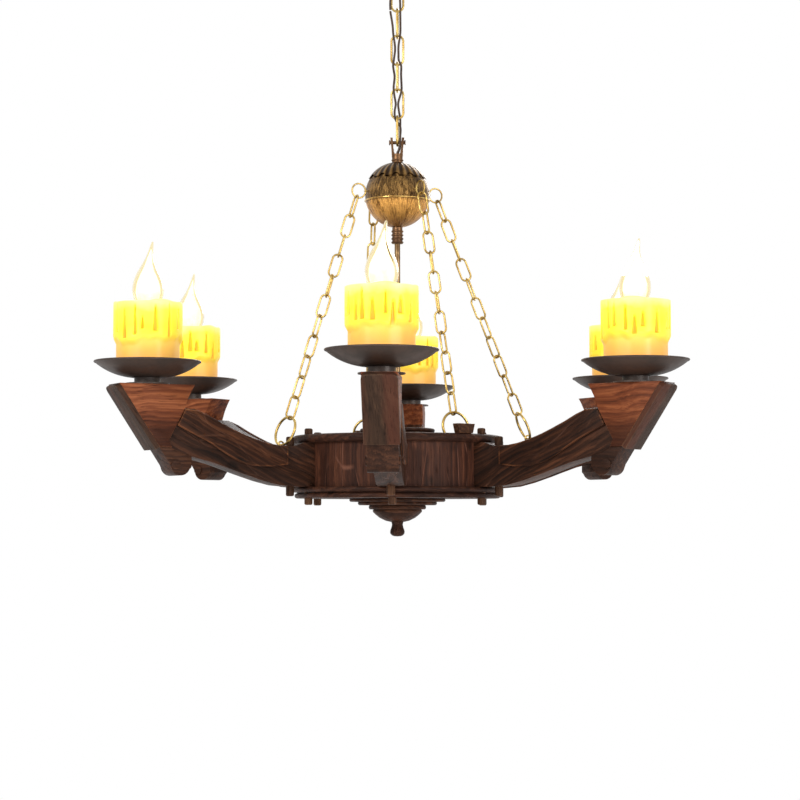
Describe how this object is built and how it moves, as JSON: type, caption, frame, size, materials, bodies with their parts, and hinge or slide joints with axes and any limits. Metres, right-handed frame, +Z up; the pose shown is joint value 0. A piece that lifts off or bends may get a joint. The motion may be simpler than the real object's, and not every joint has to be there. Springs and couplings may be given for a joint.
{
  "type": "candle chandelier",
  "caption": "Hanging chandelier with wooden arms round a turned hub, each with a drip pan and an electric candle, hung by chains from a brass ball on a ceiling chain",
  "frame": {"origin": "centre of the two ceiling screw slots, on the top face of the ceiling bracket, which is the ceiling plane", "axes": "+Z up; the front arm points along -Y; +X is to the viewer's right"},
  "size_m": [0.6658, 0.7504, 0.727],
  "materials": {
    "steel_plate": "zinc plated strip steel",
    "terminal_plastic": "white terminal plastic",
    "canopy_bronze": "dark bronze paint",
    "bronze": "dark patinated bronze",
    "rubber": "black rubber",
    "cord_cloth": "dark woven sleeve",
    "chain_brass": "pale brass plating, worn",
    "ball_brass": "antique brass, chased and darkened",
    "ball_gold": "antique brass with golden lower half",
    "rod_metal": "dull brass tube",
    "nut_steel": "plain steel",
    "hub_wood": "dark stained wood, satin",
    "arm_wood": "stained wood, worn orange edges",
    "bracket_wood": "orange brown wood with dark grain",
    "plate_wood": "grey brown board",
    "peg_wood": "light dowel wood",
    "pan_metal": "dark brown satin paint",
    "holder_plastic": "white lampholder plastic",
    "cable_white": "white cable sheath",
    "wax": "translucent yellow wax look, glowing",
    "bulb_glass": "warm white glowing glass"
  },
  "bodies": {
    "ceiling": {"ceiling_bracket": "steel_plate", "terminal_block": "terminal_plastic", "canopy": "canopy_bronze", "collar_nut": "bronze", "ceiling_loop": "bronze", "cord_grommet": "rubber", "cord_ceiling": "cord_cloth"},
    "top_link": {"chain_link_top": "chain_brass", "cord_link": "cord_cloth"},
    "fixture": {"main_chain": "chain_brass", "supply_cord": "cord_cloth", "clevis": "bronze", "clevis_pin": "bronze", "ball_cap": "ball_brass", "ball_upper_shell": "ball_brass", "ball_seam_ring": "ball_gold", "ball_lower_shell": "ball_gold", "neck_collar": "bronze", "centre_rod": "rod_metal", "rod_nuts": "nut_steel", "ball_eyes": "chain_brass", "ball_rings": "chain_brass", "chain_front_left": "chain_brass", "chain_front_right": "chain_brass", "chain_back_right": "chain_brass", "chain_back_left": "chain_brass", "lower_rings": "chain_brass", "screw_eyes": "chain_brass", "hub_boss": "hub_wood", "hub_top_disc": "hub_wood", "hub_cleats": "peg_wood", "hub_drum": "hub_wood", "hub_terminal": "terminal_plastic", "hub_bottom_disc": "hub_wood", "hub_rosette": "hub_wood", "finial": "hub_wood", "dowel_pegs": "peg_wood", "arm_beams": "arm_wood", "arm_rails": "arm_wood", "arm_cables": "cable_white", "end_brackets": "bracket_wood", "front_plates": "plate_wood", "scroll_feet": "bracket_wood", "pan_seats": "pan_metal", "drip_pans": "pan_metal", "pan_nuts": "nut_steel", "candle_stems": "nut_steel", "lampholders": "holder_plastic"},
    "bulb_1_body": {"bulb_1": "bulb_glass"},
    "bulb_2_body": {"bulb_2": "bulb_glass"},
    "bulb_3_body": {"bulb_3": "bulb_glass"},
    "bulb_4_body": {"bulb_4": "bulb_glass"},
    "bulb_5_body": {"bulb_5": "bulb_glass"},
    "bulb_6_body": {"bulb_6": "bulb_glass"},
    "candle_1_body": {"candle_1": "wax"},
    "candle_2_body": {"candle_2": "wax"},
    "candle_3_body": {"candle_3": "wax"},
    "candle_4_body": {"candle_4": "wax"},
    "candle_5_body": {"candle_5": "wax"},
    "candle_6_body": {"candle_6": "wax"}
  },
  "joints": [
    {"name": "swing_sideways", "type": "hinge", "parent": "ceiling", "child": "top_link", "pos_m": [0, 0, -0.06515], "axis": [0, 1, 0], "range_deg": [-15, 15]},
    {"name": "swing_front_back", "type": "hinge", "parent": "top_link", "child": "fixture", "pos_m": [0, 0, -0.09695], "axis": [1, 0, 0], "range_deg": [-15, 15]},
    {"name": "bulb_1_unscrew", "type": "hinge", "parent": "fixture", "child": "bulb_1_body", "pos_m": [0, -0.315, -0.497], "axis": [0, 0, 1], "range_deg": [0, 900]},
    {"name": "candle_1_lift", "type": "slide", "parent": "fixture", "child": "candle_1_body", "axis": [0, 0, 1], "range_m": [0, 0.15]},
    {"name": "bulb_2_unscrew", "type": "hinge", "parent": "fixture", "child": "bulb_2_body", "pos_m": [0.2728, -0.1575, -0.497], "axis": [0, 0, 1], "range_deg": [0, 900]},
    {"name": "candle_2_lift", "type": "slide", "parent": "fixture", "child": "candle_2_body", "axis": [0, 0, 1], "range_m": [0, 0.15]},
    {"name": "bulb_3_unscrew", "type": "hinge", "parent": "fixture", "child": "bulb_3_body", "pos_m": [0.2728, 0.1575, -0.497], "axis": [0, 0, 1], "range_deg": [0, 900]},
    {"name": "candle_3_lift", "type": "slide", "parent": "fixture", "child": "candle_3_body", "axis": [0, 0, 1], "range_m": [0, 0.15]},
    {"name": "bulb_4_unscrew", "type": "hinge", "parent": "fixture", "child": "bulb_4_body", "pos_m": [0, 0.315, -0.497], "axis": [0, 0, 1], "range_deg": [0, 900]},
    {"name": "candle_4_lift", "type": "slide", "parent": "fixture", "child": "candle_4_body", "axis": [0, 0, 1], "range_m": [0, 0.15]},
    {"name": "bulb_5_unscrew", "type": "hinge", "parent": "fixture", "child": "bulb_5_body", "pos_m": [-0.2728, 0.1575, -0.497], "axis": [0, 0, 1], "range_deg": [0, 900]},
    {"name": "candle_5_lift", "type": "slide", "parent": "fixture", "child": "candle_5_body", "axis": [0, 0, 1], "range_m": [0, 0.15]},
    {"name": "bulb_6_unscrew", "type": "hinge", "parent": "fixture", "child": "bulb_6_body", "pos_m": [-0.2728, -0.1575, -0.497], "axis": [0, 0, 1], "range_deg": [0, 900]},
    {"name": "candle_6_lift", "type": "slide", "parent": "fixture", "child": "candle_6_body", "axis": [0, 0, 1], "range_m": [0, 0.15]}
  ]
}
